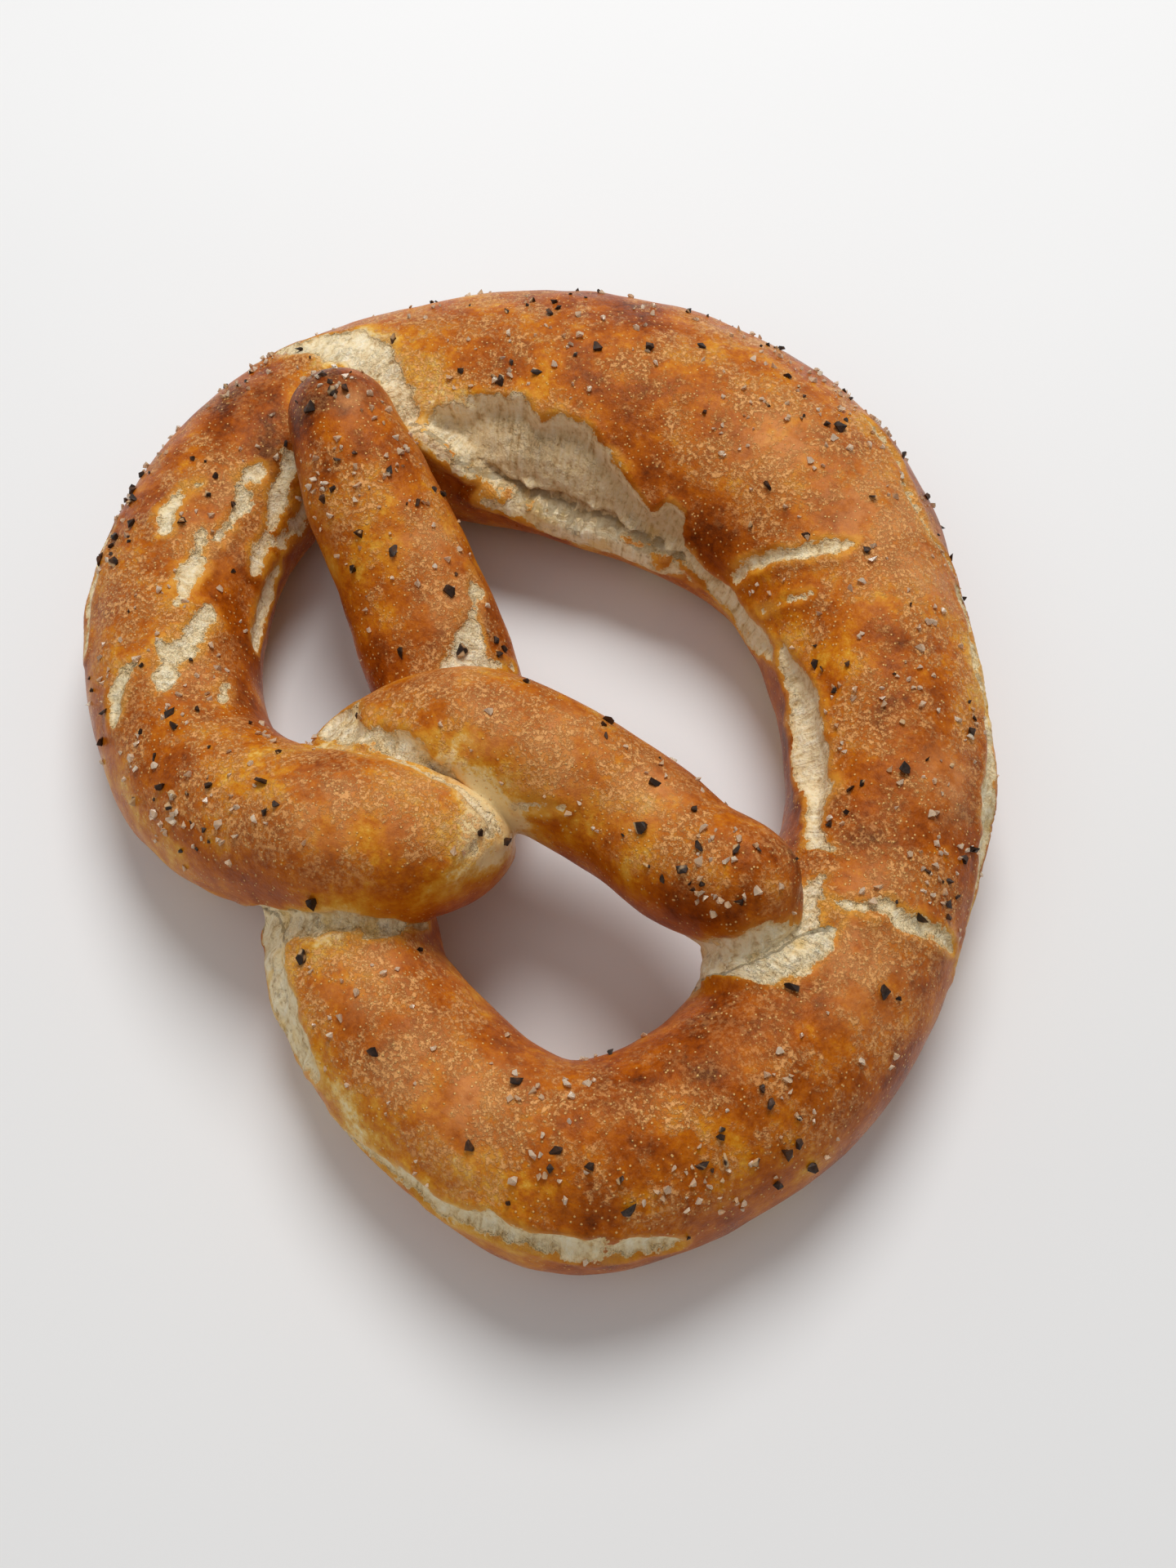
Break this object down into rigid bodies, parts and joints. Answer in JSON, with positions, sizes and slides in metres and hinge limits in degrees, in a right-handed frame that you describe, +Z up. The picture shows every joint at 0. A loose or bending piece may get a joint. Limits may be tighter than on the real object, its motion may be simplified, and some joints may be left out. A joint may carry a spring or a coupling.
{
  "type": "soft pretzel",
  "caption": "Soft pretzel: a thick rope of baked dough knotted over itself, with a split golden crust, coarse salt and cracked pepper.",
  "frame": {"origin": "middle of the base, on the surface the pretzel lies on", "axes": "+Z up from the base, +Y from the knot towards the thick belly, +X across the pretzel, from the left loop to the right loop"},
  "size_m": [0.1735, 0.1565, 0.0407],
  "materials": {
    "crust": "satin",
    "pepper": "matte",
    "salt": "gloss"
  },
  "bodies": {
    "root": {"dough": "crust", "pepper_01": "pepper", "pepper_02": "pepper", "pepper_03": "pepper", "pepper_04": "pepper", "pepper_05": "pepper", "pepper_06": "pepper", "pepper_07": "pepper", "pepper_08": "pepper", "pepper_09": "pepper", "pepper_10": "pepper", "pepper_11": "pepper", "pepper_12": "pepper", "pepper_13": "pepper", "pepper_14": "pepper", "pepper_15": "pepper", "pepper_16": "pepper", "pepper_17": "pepper", "pepper_18": "pepper", "pepper_19": "pepper", "pepper_20": "pepper", "pepper_21": "pepper", "pepper_22": "pepper", "pepper_23": "pepper", "pepper_24": "pepper", "pepper_25": "pepper", "pepper_26": "pepper", "pepper_27": "pepper", "pepper_28": "pepper", "pepper_29": "pepper", "pepper_30": "pepper", "pepper_31": "pepper", "pepper_32": "pepper", "pepper_33": "pepper", "pepper_34": "pepper", "pepper_35": "pepper", "pepper_36": "pepper", "pepper_37": "pepper", "pepper_38": "pepper", "pepper_39": "pepper", "pepper_40": "pepper", "salt_01": "salt", "salt_02": "salt", "salt_03": "salt", "salt_04": "salt", "salt_05": "salt", "salt_06": "salt", "salt_07": "salt", "salt_08": "salt", "salt_09": "salt", "salt_10": "salt", "salt_11": "salt", "salt_12": "salt", "salt_13": "salt", "salt_14": "salt", "salt_15": "salt", "salt_16": "salt", "salt_17": "salt", "salt_18": "salt", "salt_19": "salt"}
  },
  "joints": []
}
